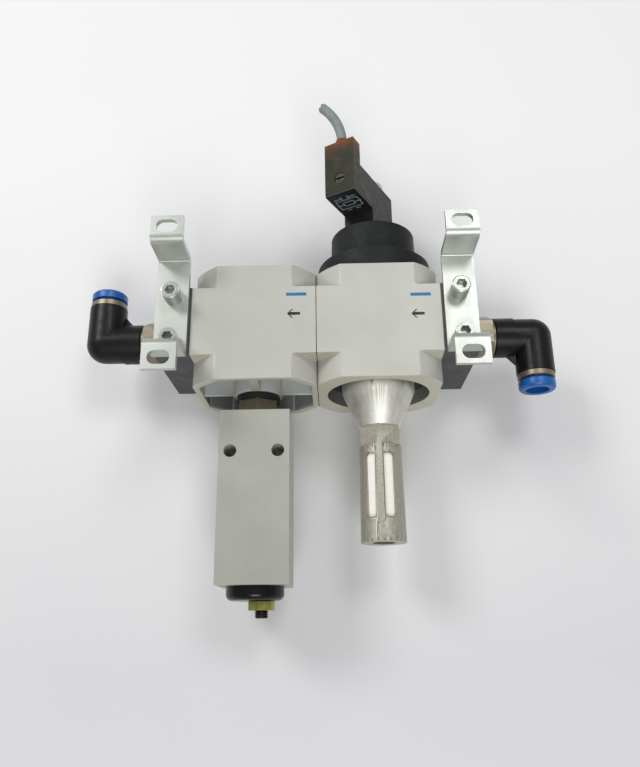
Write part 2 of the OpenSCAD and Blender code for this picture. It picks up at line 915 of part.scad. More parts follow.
module switch_block() {
    color("#bdbdb6") on_switch() difference() {
        centred_box(switch_w, switch_w, -switch_bottom, -switch_top);
        z_cylinder(port_r, -switch_top - 10, -switch_top + 1);
        z_cylinder(switch_piston_r + gland, switch_bore_z - 1, -switch_top - 9);
        z_cylinder(switch_bore_r, -switch_bottom - 1, switch_bore_z);
        for (s = [-1, 1]) translate([s * switch_hole_pitch / 2, 0, -switch_hole_z])
            y_cylinder(switch_hole_d / 2, -switch_w, switch_w);
        translate([-micro_w / 2 - 1, switch_bore_r + 0.5, inlet_z - micro_w / 2 - 1])
            cube([micro_w + 2, switch_w, micro_w + 2]);
    }
}

module switch_piston() {
    color("#c9b27a") on_switch() {
        z_cylinder(switch_piston_r, switch_bore_z - 1, -switch_top - 11);
        z_cylinder(switch_bore_r - 1.3, switch_bore_z - 3, switch_bore_z - 1);
    }
}

module range_spring() {
    color("#9a9a9a") on_switch() coil_spring(7, 0.8, seat_z, switch_bore_z - 3, 8);
}

module spring_seat() {
    color("#b0b0b0") on_switch() difference() {
        z_cylinder(switch_bore_r - 0.1, seat_z - seat_h, seat_z);
        translate([spindle_shift, 0, 0]) z_cylinder(spindle_r + gland, seat_z - seat_h - 1, seat_z + 1);
    }
}

module micro_switch() {
    color("#2a2f3a") on_switch()
        translate([-micro_w / 2, switch_bore_r + 1, inlet_z - micro_w / 2])
            cube([micro_w, micro_t, micro_w]);
}

module switch_inlet() {
    face = switch_w / 2;
    color("#202124") on_switch() translate([0, 0, inlet_z]) difference() {
        union() {
            translate([-inlet_base_w / 2, face, -inlet_base_w / 2])
                cube([inlet_base_w, inlet_step, inlet_base_w]);
            translate([-inlet_neck_w / 2, face + inlet_step, -inlet_neck_w / 2])
                cube([inlet_neck_w, inlet_step, inlet_neck_w]);
        }
        y_cylinder(1.5, face - 1, face + 2 * inlet_step + 1);
    }
}

module inlet_pins() {
    y = switch_w / 2 + 2 * inlet_step;
    color("#c8c8c8") on_switch() translate([0, 0, inlet_z]) for (s = [-1, 1]) {
        translate([s * pin_w - pin_t / 2, y, -pin_w / 2]) cube([pin_t, pin_l, pin_w]);
        translate([-pin_w / 2, y, s * pin_w - pin_t / 2]) cube([pin_w, pin_l, pin_t]);
    }
}

module switch_end_cap() {
    r = end_cap_d / 2;
    fillet = 2.6;
    color("#131416") on_switch() difference() {
        union() {
            z_cylinder(r, -end_cap_bottom + fillet, -switch_bottom);
            z_cylinder(r - fillet, -end_cap_bottom, -switch_bottom);
            translate([0, 0, -end_cap_bottom + fillet]) rotate_extrude()
                translate([r - fillet, 0]) circle(r = fillet);
        }
        translate([spindle_shift, 0, 0])
            z_cylinder(spindle_r + 2 * gland, -end_cap_bottom - 1, -switch_bottom + 1);
    }
}

module lock_nut() {
    color("#a9a626") on_switch() translate([spindle_shift, 0, 0]) difference() {
        rotate([0, 0, 20]) hexagon_z(lock_nut_af, -lock_nut_bottom, -end_cap_bottom - 0.1);
        z_cylinder(spindle_r + 2 * gland, -lock_nut_bottom - 1, -end_cap_bottom);
    }
}

module adjusting_spindle() {
    slot_w = 0.9;
    slot_depth = 1.6;
    color("#1a1a1a") on_switch() translate([spindle_shift, 0, 0]) difference() {
        z_cylinder(spindle_r, -spindle_bottom, seat_z + 4);
        centred_box(3 * spindle_r, slot_w, -spindle_bottom - 1, -spindle_bottom + slot_depth);
    }
}

left_module();
right_module();
joint_seal();
left_end_plate();
right_end_plate();
left_end_seal();
right_end_seal();
left_bracket();
right_bracket();
left_screw_upper();
left_screw_lower();
right_screw_upper();
right_screw_lower();
top_port_plug();
left_stud();
left_elbow_body();
left_elbow_collar();
left_grip_ring();
left_tube_seal();
left_release_ring();
right_stud();
right_elbow_body();
right_elbow_collar();
right_grip_ring();
right_tube_seal();
right_release_ring();
stem_guide();
valve_stem();
piston_seal();
supply_poppet();
exhaust_poppet();
return_spring();
bottom_insert();
pilot_cap();
armature_tube();
pilot_plunger();
plunger_spring();
coil_block();
coil_nut();
plug_base();
plug_housing();
plug_screw();
cable_stub();
cable_wires();
cone_adaptor();
silencer_body();
silencer_insert();
switch_nipple();
switch_seal();
switch_block();
switch_piston();
range_spring();
spring_seat();
micro_switch();
switch_inlet();
inlet_pins();
switch_end_cap();
lock_nut();
adjusting_spindle();
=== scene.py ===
"""Looks for the two-module compressed-air service unit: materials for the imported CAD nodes,
and detail pieces that ride on its bodies. Lengths are in metres unless a name ends in mm."""
import math

import bmesh
import bpy
from mathutils import Euler, Matrix, Vector


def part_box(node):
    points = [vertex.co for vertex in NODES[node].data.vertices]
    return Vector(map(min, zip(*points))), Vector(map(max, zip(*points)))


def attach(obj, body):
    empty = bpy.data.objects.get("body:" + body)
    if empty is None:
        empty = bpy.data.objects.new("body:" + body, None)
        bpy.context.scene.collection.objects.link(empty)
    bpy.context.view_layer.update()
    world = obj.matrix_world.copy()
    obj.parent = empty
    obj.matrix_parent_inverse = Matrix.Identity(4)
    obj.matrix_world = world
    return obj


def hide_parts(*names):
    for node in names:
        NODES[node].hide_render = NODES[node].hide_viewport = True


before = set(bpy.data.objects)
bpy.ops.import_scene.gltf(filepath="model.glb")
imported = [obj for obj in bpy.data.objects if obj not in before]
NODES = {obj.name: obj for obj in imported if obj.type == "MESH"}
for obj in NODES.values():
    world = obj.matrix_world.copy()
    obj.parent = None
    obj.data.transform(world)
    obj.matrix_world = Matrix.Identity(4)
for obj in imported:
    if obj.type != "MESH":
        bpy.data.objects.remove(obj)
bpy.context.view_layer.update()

MM = 0.001

# ---- Sizes and places shared with the CAD source, in the part's frame ----

MODULE_W = 55 * MM
MODULE_D = 54 * MM
MODULE_LOW = -32.8 * MM
MODULE_HIGH = 21 * MM
BAND_LOW = -21.5 * MM
BAND_HIGH = 10.3 * MM
CORNER_D = 11.3 * MM
WALL_Y = 20 * MM
AXIS_Y = WALL_Y + MODULE_D / 2
FRONT_Y = WALL_Y + MODULE_D
VALVE_X = MODULE_W / 2
SWITCH_X = -VALVE_X
SPINDLE_X = SWITCH_X + 2.8 * MM
COIL_TOP_Z = 73 * MM
PLUG_UNDER_Z = 56.1 * MM
PLUG_TOP_Z = 84.6 * MM
PLUG_FRONT_Y = -33.1 * MM
PLUG_TALL_L = 6.9 * MM
CABLE_STRAIGHT = 2.1 * MM
CABLE_BEND_R = 26 * MM
CABLE_BEND = math.radians(50)
COIL_YAW = math.radians(29)
# The solenoid's own frame: Z runs up the armature tube and -Y points to the plug's front.
SOLENOID = Matrix.Translation((VALVE_X, AXIS_Y, 0)) @ Matrix.Rotation(-COIL_YAW, 4, "Z")

# ---- Camera: in front of the wall side and below the unit, looking up at it ----

CAMERA_PLACE = (7.11 * MM, -266.47 * MM, -133.74 * MM)
CAMERA_TURN_DEG = (108.8918, 0.6158, 1.3615)
CAMERA_LENS = 33.67
CAMERA_SENSOR_W = 36
CAMERA_CLIP = (0.01, 20)


def make_camera():
    data = bpy.data.cameras.new("camera")
    data.lens = CAMERA_LENS
    data.sensor_width = CAMERA_SENSOR_W
    data.clip_start, data.clip_end = CAMERA_CLIP
    camera = bpy.data.objects.new("camera", data)
    turn = Euler([math.radians(angle) for angle in CAMERA_TURN_DEG])
    camera.matrix_world = Matrix.Translation(CAMERA_PLACE) @ turn.to_matrix().to_4x4()
    bpy.context.scene.collection.objects.link(camera)
    bpy.context.scene.camera = camera


# ---- Shader building ----


def linear(colour):
    """Linear RGBA of an sRGB colour given as 0 to 255."""
    out = []
    for value in colour:
        c = value / 255
        out.append(c / 12.92 if c <= 0.04045 else ((c + 0.055) / 1.055) ** 2.4)
    return (*out, 1)


class Shader:
    """A procedural material: a Principled shader and the nodes that feed it."""

    def __init__(self, name, **constants):
        self.material = bpy.data.materials.new(name)
        self.material.use_nodes = True
        self.tree = self.material.node_tree
        self.principled = self.tree.nodes["Principled BSDF"]
        for key, value in constants.items():
            self.principled.inputs[key.replace("_", " ")].default_value = value
        self.place = self.add("ShaderNodeTexCoord").outputs["Object"]
        self.last_bump = None
        self.base = None

    def add(self, kind, **settings):
        node = self.tree.nodes.new(kind)
        for key, value in settings.items():
            setattr(node, key, value)
        return node

    def join(self, source, target):
        self.tree.links.new(source, target)

    def feed(self, node, key, value):
        if isinstance(value, bpy.types.NodeSocket):
            self.join(value, node.inputs[key])
        else:
            node.inputs[key].default_value = value

    def stretched(self, stretch):
        """The place in object space, scaled along X, Y and Z."""
        node = self.add("ShaderNodeMapping")
        node.inputs["Scale"].default_value = stretch
        self.join(self.place, node.inputs["Vector"])
        return node.outputs["Vector"]

    def noise(self, size_mm, detail=3.0, roughness=0.5, stretch=None, distortion=0.0):
        node = self.add("ShaderNodeTexNoise")
        node.inputs["Scale"].default_value = 1000 / size_mm
        node.inputs["Detail"].default_value = detail
        node.inputs["Roughness"].default_value = roughness
        node.inputs["Distortion"].default_value = distortion
        self.join(self.stretched(stretch) if stretch else self.place, node.inputs["Vector"])
        return node.outputs["Fac"]

    def cells(self, size_mm):
        node = self.add("ShaderNodeTexVoronoi")
        node.inputs["Scale"].default_value = 1000 / size_mm
        self.join(self.place, node.inputs["Vector"])
        return node.outputs["Distance"]

    def ramp(self, factor, stops):
        """stops are (position, colour or grey value)."""
        node = self.add("ShaderNodeValToRGB")
        elements = node.color_ramp.elements
        while len(elements) < len(stops):
            elements.new(0.5)
        for element, (position, value) in zip(elements, stops):
            element.position = position
            element.color = value if isinstance(value, tuple) else (value, value, value, 1)
        self.join(factor, node.inputs["Fac"])
        return node.outputs["Color"]

    def mix(self, factor, a, b):
        """Colour a, turning into colour b as the factor goes from 0 to 1."""
        node = self.add("ShaderNodeMix", data_type="RGBA")
        self.feed(node, "Factor", factor)
        for socket, value in ((node.inputs[6], a), (node.inputs[7], b)):
            if isinstance(value, bpy.types.NodeSocket):
                self.join(value, socket)
            else:
                socket.default_value = value
        return node.outputs[2]

    def spread(self, value, low, high, to_low=0.0, to_high=1.0):
        """The value's range low to high, mapped to to_low to to_high and held at both ends."""
        node = self.add("ShaderNodeMapRange")
        self.feed(node, "Value", value)
        for key, number in (("From Min", low), ("From Max", high),
                            ("To Min", to_low), ("To Max", to_high)):
            node.inputs[key].default_value = number
        return node.outputs["Result"]

    def fade(self, value, edge_mm):
        """A mask: 0 at the first of the two edge values, 1 at the second."""
        return self.spread(value, edge_mm[0] * MM, edge_mm[1] * MM)

    def maths(self, operation, a, b=0.0):
        node = self.add("ShaderNodeMath", operation=operation)
        self.feed(node, 0, a)
        self.feed(node, 1, b)
        return node.outputs[0]

    def times(self, first, *others):
        """The product of several factors."""
        product = first
        for other in others:
            product = self.maths("MULTIPLY", product, other)
        return product

    def axis(self, name):
        node = self.add("ShaderNodeSeparateXYZ")
        self.join(self.place, node.inputs[0])
        return node.outputs[name]

    def offsets(self, x, y):
        """Distances from the upright line at x, y: along X, along Y and straight."""
        from_x = self.maths("ABSOLUTE", self.maths("SUBTRACT", self.axis("X"), x))
        from_y = self.maths("ABSOLUTE", self.maths("SUBTRACT", self.axis("Y"), y))
        squares = self.maths("ADD", self.times(from_x, from_x), self.times(from_y, from_y))
        return from_x, from_y, self.maths("SQRT", squares)

    def facing(self, name):
        """One component of the surface normal at rest."""
        node = self.add("ShaderNodeSeparateXYZ")
        self.join(self.add("ShaderNodeTexCoord").outputs["Normal"], node.inputs[0])
        return node.outputs[name]

    def bump(self, height, distance_mm):
        """Adds a relief on top of the ones added before it."""
        node = self.add("ShaderNodeBump")
        node.inputs["Strength"].default_value = 1.0
        node.inputs["Distance"].default_value = distance_mm * MM
        self.join(height, node.inputs["Height"])
        if self.last_bump is not None:
            self.join(self.last_bump, node.inputs["Normal"])
        self.last_bump = node.outputs["Normal"]
        self.join(self.last_bump, self.principled.inputs["Normal"])

    def colour(self, value):
        self.base = value
        self.join(value, self.principled.inputs["Base Color"])

    def rough(self, value):
        self.join(value, self.principled.inputs["Roughness"])


def tones(colour, spread):
    """Three linear colours, darker to lighter, round an sRGB colour."""
    return [linear([min(255, max(0, c + d)) for c in colour]) for d in (-spread, 0, spread)]


def paint(name, colour, spread=5, patch_mm=14, grain_mm=0.5, grain_depth_mm=0.012,
          rough=(0.42, 0.55), dust=0.0, **constants):
    """Painted or moulded surface: soft patches of tone, a fine grain and a few specks."""
    s = Shader(name, **constants)
    low, mid, high = tones(colour, spread)
    patches = s.noise(patch_mm, detail=4)
    base = s.ramp(patches, [(0.32, low), (0.5, mid), (0.68, high)])
    specks = s.ramp(s.cells(3.1), [(0.0, 1.0), (0.045, 0.0)])
    fleck = s.mix(s.times(specks, 0.35), base, low)
    if dust:
        veil = s.ramp(s.noise(5, detail=6, roughness=0.7), [(0.52, 0.0), (0.75, dust)])
        fleck = s.mix(veil, fleck, linear([min(255, c + 60) for c in colour]))
    s.colour(fleck)
    grain = s.noise(grain_mm, detail=2)
    s.rough(s.spread(s.noise(patch_mm / 3, detail=3), 0.3, 0.7, *rough))
    s.bump(grain, grain_depth_mm)
    return s


def metal(name, colour, spread=8, rough=(0.22, 0.38), streak=(1, 1, 1), streak_mm=1.2,
          depth_mm=0.008, patch_mm=7, stain=None, **constants):
    """Bare or plated metal: streaks along the finish, soft stains and fine scratches."""
    constants.setdefault("Metallic", 1.0)
    s = Shader(name, **constants)
    low, mid, high = tones(colour, spread)
    clouds = s.noise(patch_mm, detail=5, roughness=0.6)
    base = s.ramp(clouds, [(0.3, low), (0.5, mid), (0.72, high)])
    if stain:
        spots = s.noise(patch_mm * 0.8, detail=6, distortion=0.6)
        veil = s.ramp(spots, [(0.55, 0.0), (0.72, 0.6)])
        base = s.mix(veil, base, linear(stain))
    s.colour(base)
    streaks = s.noise(streak_mm, detail=4, roughness=0.7, stretch=streak)
    s.rough(s.spread(streaks, 0.3, 0.7, *rough))
    s.bump(streaks, depth_mm)
    return s


# Soft edges of the tinted zones inside the modules, each from clear to full tint; the zones at the
# pocket's rear and in the valve's mouth hold painted shade. The sides and the reach are distances from
# the switch's axis, the mouth radius is from the valve's.
POCKET_SIDE_MM = (25.8, 25.4)
POCKET_REACH_MM = (30.4, 29.8)
POCKET_FOOT_Z_MM = (-32.4, -31.2)
POCKET_ROOF_Z_MM = (-22.5, -23)
POCKET_REAR_Y_MM = (48.5, 49.5)
MOUTH_RADIUS_MM = (23.45, 23.25)
MOUTH_ROOF_Z_MM = (-18.8, -19.4)


def pocket_mask(s):
    """The open space under the branching module, inside its walls."""
    from_x, from_y, reach = s.offsets(SWITCH_X, AXIS_Y)
    inside = s.times(s.fade(s.axis("Z"), POCKET_FOOT_Z_MM), s.fade(s.axis("Z"), POCKET_ROOF_Z_MM))
    walls = s.times(s.fade(from_x, POCKET_SIDE_MM), s.fade(from_y, POCKET_SIDE_MM))
    return s.times(inside, walls, s.fade(reach, POCKET_REACH_MM))


def mouth_shade_mask(s):
    """The inside of the round mouth under the valve module, where shade is painted."""
    radius = s.offsets(VALVE_X, AXIS_Y)[2]
    return s.times(s.fade(radius, MOUTH_RADIUS_MM), s.fade(s.axis("Z"), MOUTH_ROOF_Z_MM))


def module_grey(name, shift=0):
    """Warm grey enamel: yellowed on undersides and cool in the pocket, with painted shade at the pocket's
    rear and in the valve's mouth, paler towards +X, and darker low down with painted shade."""
    colour = [c + shift for c in (182, 182, 174)]
    s = paint(name, colour, spread=4, patch_mm=22, grain_mm=0.45, grain_depth_mm=0.01,
              rough=(0.36, 0.5), Specular_IOR_Level=0.45)
    down = s.spread(s.facing("Z"), -0.55, -0.95)
    yellow = s.mix(s.times(down, 0.5), s.base, linear((180, 172, 138)))
    worn = s.ramp(s.noise(9, detail=5, distortion=0.4), [(0.6, 0.0), (0.78, 0.35)])
    aged = s.mix(worn, yellow, linear((188, 184, 166)))
    pocket = pocket_mask(s)
    cool = s.mix(s.times(pocket, 0.4), aged, linear((176, 188, 196)))
    # Painted shade: the rear of the pocket is darkened.
    rear_shade_mask = s.times(pocket, s.fade(s.axis("Y"), POCKET_REAR_Y_MM))
    rear = s.mix(s.times(rear_shade_mask, 0.62), cool, linear((58, 62, 64)))
    # Painted shade: the inside of the valve's mouth is darkened.
    mouth = s.mix(s.times(mouth_shade_mask(s), 0.92), rear, linear((46, 50, 50)))
    paler = s.spread(s.axis("X"), -40 * MM, 50 * MM, 0.0, 0.16)
    lighter = s.mix(paler, mouth, linear((236, 236, 226)))
    # Painted shade: darker low down, where less light falls.
    low = s.spread(s.axis("Z"), -45 * MM, -120 * MM, 0.0, 0.3)
    s.colour(s.mix(low, lighter, linear((132, 131, 121))))
    return s.material


def worn_edge(name, colour):
    """The polished edge of an enamelled casting."""
    return paint(name, colour, spread=9, patch_mm=5, grain_mm=0.4, rough=(0.3, 0.45)).material


def amber_plug(name):
    """Smoky amber shell: olive low down, with a painted orange glow at the top where light would come
    through.
    """
    s = Shader(name, IOR=1.5, Coat_Weight=0.03, Coat_Roughness=0.2, Specular_IOR_Level=0.2)
    height = s.spread(s.axis("Z"), 57 * MM, 85 * MM)
    cloud = s.noise(5, detail=4, roughness=0.6)
    wave = s.maths("ADD", height, s.times(s.maths("SUBTRACT", cloud, 0.5), 0.22))
    # Painted glow: the colour turns orange towards the top of the plug.
    base = s.ramp(wave, [(0.0, linear((38, 39, 19))), (0.3, linear((40, 42, 25))),
                         (0.68, linear((40, 41, 26))), (0.82, linear((62, 47, 25))),
                         (0.92, linear((94, 56, 22))), (1.0, linear((126, 70, 26)))])
    # Painted glow: orange patches where light would shine through the shell.
    painted_glow = s.ramp(s.noise(4.2, detail=1), [(0.52, 0.0), (0.72, 0.4)])
    s.colour(s.mix(painted_glow, base, linear((84, 56, 24))))
    s.rough(s.spread(s.noise(4, detail=4), 0.3, 0.7, 0.36, 0.5))
    s.bump(s.noise(0.9, detail=2), 0.02)
    return s.material


def silencer_cast(name):
    """Rough grey die-casting with pits, and rubbed bright along its ribs."""
    s = Shader(name, Metallic=0.5)
    rough_skin = s.noise(0.8, detail=6, roughness=0.7)
    base = s.ramp(rough_skin, [(0.28, linear((138, 135, 121))), (0.5, linear((172, 169, 154))),
                               (0.75, linear((208, 205, 190)))])
    streaks = s.noise(1.5, detail=3, stretch=(1, 1, 0.12))
    s.colour(s.mix(s.times(streaks, 0.45), base, linear((186, 182, 165))))
    s.rough(s.spread(rough_skin, 0.3, 0.7, 0.3, 0.6))
    s.bump(rough_skin, 0.05)
    s.bump(s.noise(0.35, detail=3), 0.02)
    return s.material


def porous_white(name):
    """Sintered white plastic."""
    s = Shader(name, Specular_IOR_Level=0.25)
    beads = s.cells(0.55)
    s.colour(s.ramp(beads, [(0.0, linear((253, 252, 246))), (0.7, linear((240, 238, 228)))]))
    s.rough(s.spread(beads, 0.0, 0.8, 0.7, 0.95))
    s.bump(beads, -0.08)
    return s.material


def turned_aluminium(name):
    """Machined aluminium with fine turning rings along Z and a satin bloom."""
    s = Shader(name, Metallic=0.85, Anisotropic=0.3)
    rings = s.noise(0.5, detail=3, stretch=(0.03, 0.03, 1))
    bloom = s.noise(6, detail=5, roughness=0.6)
    s.colour(s.ramp(bloom, [(0.3, linear((214, 213, 203))), (0.55, linear((232, 231, 221))),
                            (0.8, linear((244, 243, 235)))]))
    satin = s.maths("ADD", s.times(rings, 0.5), s.times(bloom, 0.5))
    s.rough(s.spread(satin, 0.3, 0.7, 0.42, 0.56))
    s.bump(rings, 0.012)
    s.bump(s.noise(0.8, detail=4), 0.01)
    return s.material


def cap_black(name):
    """Matt moulded nylon, blue-black, with faint rings from the mould."""
    s = paint(name, (24, 27, 28), spread=3, patch_mm=9, grain_mm=0.35, grain_depth_mm=0.03,
              rough=(0.5, 0.66), dust=0.05, Specular_IOR_Level=0.27)
    rings = s.noise(1.6, detail=2, stretch=(0.02, 0.02, 1))
    s.bump(rings, 0.03)
    return s.material


def zinc(name, colour, rough):
    """Bright zinc plate: nearly even, with a faint green cast, soft clouds and a few hairlines."""
    s = metal(name, colour, spread=4, rough=rough, streak=(1, 1, 0.3), streak_mm=5,
              depth_mm=0.002, patch_mm=12, Metallic=0.75)
    hairs = s.noise(1.6, detail=5, roughness=0.8, stretch=(1, 1, 9))
    scratches = s.ramp(hairs, [(0.66, 0.0), (0.74, 0.2)])
    s.colour(s.mix(scratches, s.base, linear((168, 174, 168))))
    return s.material


def coil_epoxy(name):
    """Matt moulded epoxy, with painted shade on the side that is turned to the wall."""
    s = paint(name, (52, 54, 53), spread=4, patch_mm=7, grain_mm=0.45, grain_depth_mm=0.03,
              rough=(0.5, 0.65), dust=0.06, Specular_IOR_Level=0.35)
    # Painted shade: the faces turned to the wall are darkened.
    shade = s.spread(s.facing("Y"), -0.6, -0.8, 0.0, 0.8)
    s.colour(s.mix(shade, s.base, linear((14, 14, 14))))
    return s.material


def knurled_clear(name):
    """Clear moulded plastic nut: pale, glossy and a little cloudy."""
    s = Shader(name, Coat_Weight=0.5, Coat_Roughness=0.08, Subsurface_Weight=0.2,
               Subsurface_Scale=0.003)
    cloud = s.noise(2.2, detail=3)
    s.colour(s.ramp(cloud, [(0.3, linear((176, 180, 172))), (0.7, linear((232, 234, 229)))]))
    s.rough(s.spread(cloud, 0.3, 0.7, 0.14, 0.3))
    s.bump(s.noise(0.7, detail=2), 0.015)
    return s.material


def make_materials():
    """Every material by the short name that dress() and piece() use."""
    m = {}
    m["module"] = module_grey("module_enamel")
    m["module_edge"] = worn_edge("module_edge", (188, 186, 173))
    m["switch"] = module_grey("switch_enamel", -15)
    m["switch_edge"] = worn_edge("switch_edge", (176, 174, 162))
    m["plate"] = paint("plate_enamel", (64, 64, 66), spread=5, patch_mm=10, grain_mm=0.4,
                       grain_depth_mm=0.03, rough=(0.5, 0.65), dust=0.08).material
    m["plate_edge"] = worn_edge("plate_edge", (80, 80, 82))
    m["zinc"] = zinc("zinc_plate", (192, 196, 189), (0.36, 0.44))
    # Painted highlight: the rounded edges of the brackets get brighter, glossier zinc.
    m["zinc_edge_highlight"] = zinc("zinc_edge_highlight", (214, 218, 212), (0.26, 0.34))
    m["screw"] = zinc("screw_zinc", (168, 173, 166), (0.3, 0.4))
    # Painted highlight: the rounded edges of the screws get brighter zinc.
    m["screw_edge_highlight"] = zinc("screw_edge_highlight", (206, 210, 204), (0.22, 0.3))
    m["dark_screw"] = metal("dark_screw", (66, 66, 62), spread=14, rough=(0.22, 0.36),
                            patch_mm=1.5).material
    m["rubber"] = paint("seal_rubber", (26, 26, 27), spread=4, grain_mm=0.3, grain_depth_mm=0.02,
                        rough=(0.6, 0.8)).material
    m["gasket"] = paint("gasket_edge", (48, 46, 42), spread=4, patch_mm=3,
                        rough=(0.6, 0.8)).material
    m["brass"] = metal("nickel_brass", (146, 138, 120), spread=9, rough=(0.34, 0.5),
                       streak=(0.1, 1, 1), streak_mm=0.9, stain=(122, 110, 90), Metallic=0.8).material
    m["elbow"] = paint("elbow_nylon", (19, 20, 20), spread=3, patch_mm=8, grain_mm=0.35,
                       grain_depth_mm=0.012, rough=(0.3, 0.44), dust=0.04,
                       Specular_IOR_Level=0.24).material
    m["ring"] = paint("ring_acetal", (14, 88, 160), spread=8, patch_mm=5, grain_mm=0.4,
                      grain_depth_mm=0.012, rough=(0.3, 0.42), Subsurface_Weight=0.05,
                      Subsurface_Scale=0.002).material
    m["spring"] = metal("spring_steel", (170, 170, 168), streak=(1, 1, 0.2)).material
    m["valve_brass"] = metal("valve_brass", (196, 164, 96), streak=(0.05, 0.05, 1)).material
    m["aluminium"] = turned_aluminium("turned_aluminium")
    m["insert"] = paint("insert_nylon", (38, 39, 41), spread=4, rough=(0.55, 0.7)).material
    m["cap"] = cap_black("cap_nylon")
    m["steel"] = metal("satin_steel", (176, 176, 174), streak=(0.05, 0.05, 1)).material
    m["coil"] = coil_epoxy("coil_epoxy")
    m["nut"] = knurled_clear("clear_nut")
    m["plug_base"] = paint("plug_black", (27, 28, 30), spread=4, rough=(0.4, 0.55)).material
    m["plug"] = amber_plug("amber_plug")
    m["jacket"] = paint("cable_jacket", (128, 136, 133), spread=6, patch_mm=4, grain_mm=0.5,
                        grain_depth_mm=0.03, rough=(0.5, 0.65)).material
    m["silencer"] = silencer_cast("silencer_cast")
    m["porous"] = porous_white("porous_white")
    m["inlet"] = paint("inlet_nylon", (34, 35, 37), spread=4, rough=(0.45, 0.6)).material
    m["pin"] = metal("tinned_pin", (190, 190, 186)).material
    m["end_cap"] = paint("end_cap_gloss", (13, 13, 14), spread=3, patch_mm=6,
                         grain_depth_mm=0.006, rough=(0.2, 0.3), Coat_Weight=0.05,
                         Coat_Roughness=0.1, Specular_IOR_Level=0.25).material
    m["nut_yellow"] = metal("yellow_passivate", (170, 165, 92), spread=18, rough=(0.28, 0.45),
                            patch_mm=2.5, stain=(120, 128, 60)).material
    m["spindle"] = metal("black_oxide", (52, 50, 42), spread=8, rough=(0.35, 0.5)).material
    m["blue_ink"] = paint("blue_ink", (12, 110, 160), spread=8, patch_mm=2, rough=(0.4, 0.55)).material
    m["black_ink"] = paint("black_ink", (16, 16, 17), spread=6, patch_mm=2, rough=(0.4, 0.55)).material
    m["pale_ink"] = paint("pale_ink", (150, 168, 172), spread=12, patch_mm=1.5, rough=(0.5, 0.6)).material
    m["copper"] = metal("bare_copper", (196, 128, 86), streak=(1, 1, 0.1)).material
    m["core_yellow"] = paint("core_yellow_green", (176, 178, 62), spread=14, patch_mm=1).material
    m["core_brown"] = paint("core_brown", (88, 56, 40), spread=8, patch_mm=1).material
    m["core_black"] = paint("core_black", (36, 36, 40), spread=5, patch_mm=1).material
    return m


MATERIALS = make_materials()

# ---- The CAD nodes keep their shape: they get a material and softened edges ----


WELD_MM = 0.002
FLAT_DEG = 0.4
SHARP_DEG = 32
BEVEL_SEGMENTS = 2
FACE_WEIGHT = 60


def soften(node, width_mm, edge_slot, clamp):
    """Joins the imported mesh's faces, rounds its sharp edges and smooths its normals."""
    weld = node.modifiers.new("weld", "WELD")
    weld.merge_threshold = WELD_MM * MM
    flat = node.modifiers.new("flat", "DECIMATE")
    flat.decimate_type = "DISSOLVE"
    flat.angle_limit = math.radians(FLAT_DEG)
    bevel = node.modifiers.new("bevel", "BEVEL")
    bevel.width = width_mm * MM
    bevel.segments = BEVEL_SEGMENTS
    bevel.limit_method = "ANGLE"
    bevel.angle_limit = math.radians(SHARP_DEG)
    bevel.material = edge_slot
    bevel.use_clamp_overlap = clamp
    bevel.miter_outer = "MITER_ARC"
    normals = node.modifiers.new("normals", "WEIGHTED_NORMAL")
    normals.weight = FACE_WEIGHT
    normals.keep_sharp = False


def dress(material, names, width_mm=0.0, edge=None, clamp=True):
    """Gives CAD nodes a material, and edges rounded by width_mm in a material of their own."""
    for name in names.split():
        node = NODES[name]
        node.data.materials.clear()
        node.data.materials.append(MATERIALS[material])
        if edge:
            node.data.materials.append(MATERIALS[edge])
        if width_mm:
            soften(node, width_mm, 1 if edge else -1, clamp)


# A clamped bevel would shrink to nothing on the modules, whose cored pockets have short edges.
dress("module", "left_module right_module", 0.4, "module_edge", clamp=False)
dress("switch", "switch_block", 0.35, "switch_edge")
dress("plate", "left_end_plate right_end_plate", 0.4, "plate_edge")
dress("zinc", "left_bracket right_bracket", 0.25, "zinc_edge_highlight")
dress("screw", "left_screw_upper left_screw_lower right_screw_upper right_screw_lower", 0.25,
      "screw_edge_highlight")
dress("dark_screw", "plug_screw", 0.12)
dress("rubber", "joint_seal left_end_seal right_end_seal left_tube_seal right_tube_seal piston_seal")
dress("rubber", "switch_seal", 0.3)
dress("brass", "left_stud right_stud switch_nipple top_port_plug", 0.25)
dress("brass", "left_elbow_collar right_elbow_collar", 0.15)
dress("elbow", "left_elbow_body right_elbow_body", 0.35)
dress("ring", "left_release_ring right_release_ring", 0.2)
dress("spring", "left_grip_ring right_grip_ring return_spring plunger_spring range_spring")
dress("valve_brass", "stem_guide supply_poppet exhaust_poppet switch_piston")
dress("aluminium", "cone_adaptor", 0.3)
dress("aluminium", "valve_stem")
dress("insert", "bottom_insert", 0.3)
dress("cap", "pilot_cap", 0.5)
dress("steel", "armature_tube pilot_plunger spring_seat")
dress("coil", "coil_block", 0.5)
dress("plug_base", "plug_base", 0.25)
dress("plug", "plug_housing", 0.45)
dress("jacket", "cable_stub", 0.15)
dress("silencer", "silencer_body", 0.25)
dress("porous", "silencer_insert")
dress("inlet", "switch_inlet", 0.4)
dress("inlet", "micro_switch")
dress("pin", "inlet_pins", 0.1)
dress("end_cap", "switch_end_cap", 0.15)
dress("nut_yellow", "lock_nut", 0.3)

# ---- Detail pieces ----


def new_object(name, bm):
    """A finished bmesh as an object in the scene."""
    data = bpy.data.meshes.new(name)
    bm.to_mesh(data)
    bm.free()
    obj = bpy.data.objects.new(name, data)
    bpy.context.scene.collection.objects.link(obj)
    return obj


def piece(name, bm, material, body, smooth=True):
    """A finished bmesh as a piece that rides on a CAD body."""
    bm.normal_update()
    obj = new_object(name, bm)
    obj.data.materials.append(MATERIALS[material])
    if smooth:
        obj.data.shade_smooth()
    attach(obj, body)
    return obj


